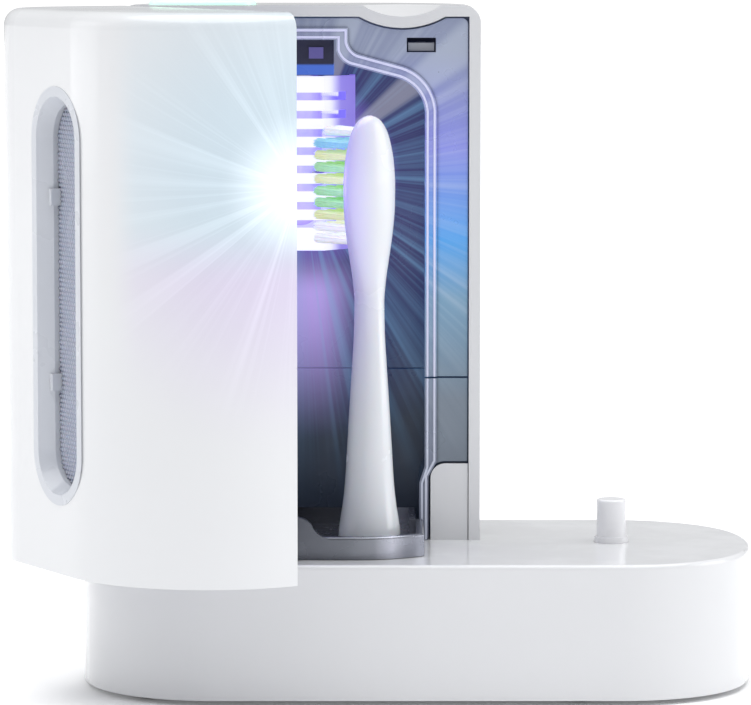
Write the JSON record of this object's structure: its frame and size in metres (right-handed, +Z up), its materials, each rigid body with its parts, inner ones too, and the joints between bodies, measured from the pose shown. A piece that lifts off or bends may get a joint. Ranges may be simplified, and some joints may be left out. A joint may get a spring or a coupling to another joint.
{
  "type": "toothbrush sanitizer",
  "caption": "Countertop toothbrush sanitizer: a hinged-door ultraviolet chamber for brush heads with a slatted lamp screen and drip tray, on a long base with a charging post.",
  "frame": {"origin": "bottom centre of the bounding box with the door open, on the surface that the feet stand on", "axes": "+X to the user's right along the base, +Y away from the user, +Z up"},
  "size_m": [0.1365, 0.0916, 0.1263],
  "materials": {
    "gloss_white": "glossy white housing plastic",
    "post_white": "glossy light grey-white plastic",
    "liner_silver": "satin silver-grey plastic with a metallic tint",
    "tray_grey": "satin steel-grey plastic",
    "lens_grey": "patterned translucent grey plastic",
    "bezel_grey": "satin light grey plastic",
    "button_green": "translucent green plastic, lit from inside",
    "lamp_glass": "clear quartz",
    "mirror": "polished sheet",
    "dark_plastic": "dark heat-resistant plastic",
    "screen_white": "satin pale plastic",
    "steel": "steel",
    "rubber": "black rubber",
    "copper": "enamelled copper wire",
    "ferrite": "dark ferrite",
    "board": "green solder mask",
    "brush_white": "glossy white plastic",
    "bristle_white": "nylon filaments",
    "bristle_green": "nylon filaments",
    "bristle_yellow": "nylon filaments",
    "bristle_blue": "nylon filaments"
  },
  "bodies": {
    "tower": {"base_housing": "gloss_white", "bottom_cover": "gloss_white", "rubber_feet": "rubber", "base_screws": "steel", "tower_screws": "steel", "charger_post": "post_white", "ferrite_core": "ferrite", "coil_bobbin": "dark_plastic", "charge_coil": "copper", "main_board": "board", "board_components": "dark_plastic", "cord_inlet": "rubber", "rear_shell": "gloss_white", "corner_blocks": "gloss_white", "upper_liner": "liner_silver", "lower_liner": "liner_silver", "reflector": "mirror", "uv_lamp": "lamp_glass", "lamp_cap": "steel", "lamp_socket": "dark_plastic", "lamp_clasp": "steel", "switch_board": "board", "button_switch": "dark_plastic", "button_spring": "steel", "interlock_switch": "dark_plastic", "hinge_pins": "steel"},
    "door": {"door_shell": "gloss_white", "door_liner": "liner_silver", "window_bezel": "bezel_grey", "window_lens": "lens_grey", "latch_tab": "liner_silver"},
    "button": {"power_button": "button_green"},
    "plunger": {"interlock_plunger": "liner_silver"},
    "tray": {"drip_tray": "tray_grey", "brush_pegs": "tray_grey"},
    "brush": {"brush_head": "brush_white", "bristles_white": "bristle_white", "bristles_green": "bristle_green", "bristles_yellow": "bristle_yellow", "bristles_blue": "bristle_blue"},
    "screen": {"protective_screen": "screen_white"},
    "panel": {"back_panel": "gloss_white", "cord_hooks": "gloss_white"}
  },
  "joints": [
    {"name": "door_hinge", "type": "hinge", "parent": "tower", "child": "door", "pos_m": [-0.0494, 0.01695, 0.076], "axis": [0, 0, -1], "range_deg": [-59.2, 35]},
    {"name": "power_button_press", "type": "slide", "parent": "tower", "child": "button", "axis": [0, 0, -1], "range_m": [0, 0.0008], "stiffness_N_per_m": 900, "springref_m": -0.001, "deforming": ["button_spring"]},
    {"name": "interlock_press", "type": "slide", "parent": "tower", "child": "plunger", "axis": [0, 1, 0], "range_m": [0, 0.002], "stiffness_N_per_m": 300, "springref_m": -0.001},
    {"name": "tray_slide", "type": "slide", "parent": "tower", "child": "tray", "axis": [0, -1, 0], "range_m": [0, 0.03]},
    {"name": "brush_lift", "type": "slide", "parent": "tray", "child": "brush", "axis": [0, 0, 1], "range_m": [0, 0.009]},
    {"name": "screen_pull", "type": "slide", "parent": "tower", "child": "screen", "axis": [0, -1, 0], "range_m": [0, 0.004]},
    {"name": "panel_pull", "type": "slide", "parent": "tower", "child": "panel", "axis": [0, 1, 0], "range_m": [0, 0.012]}
  ]
}
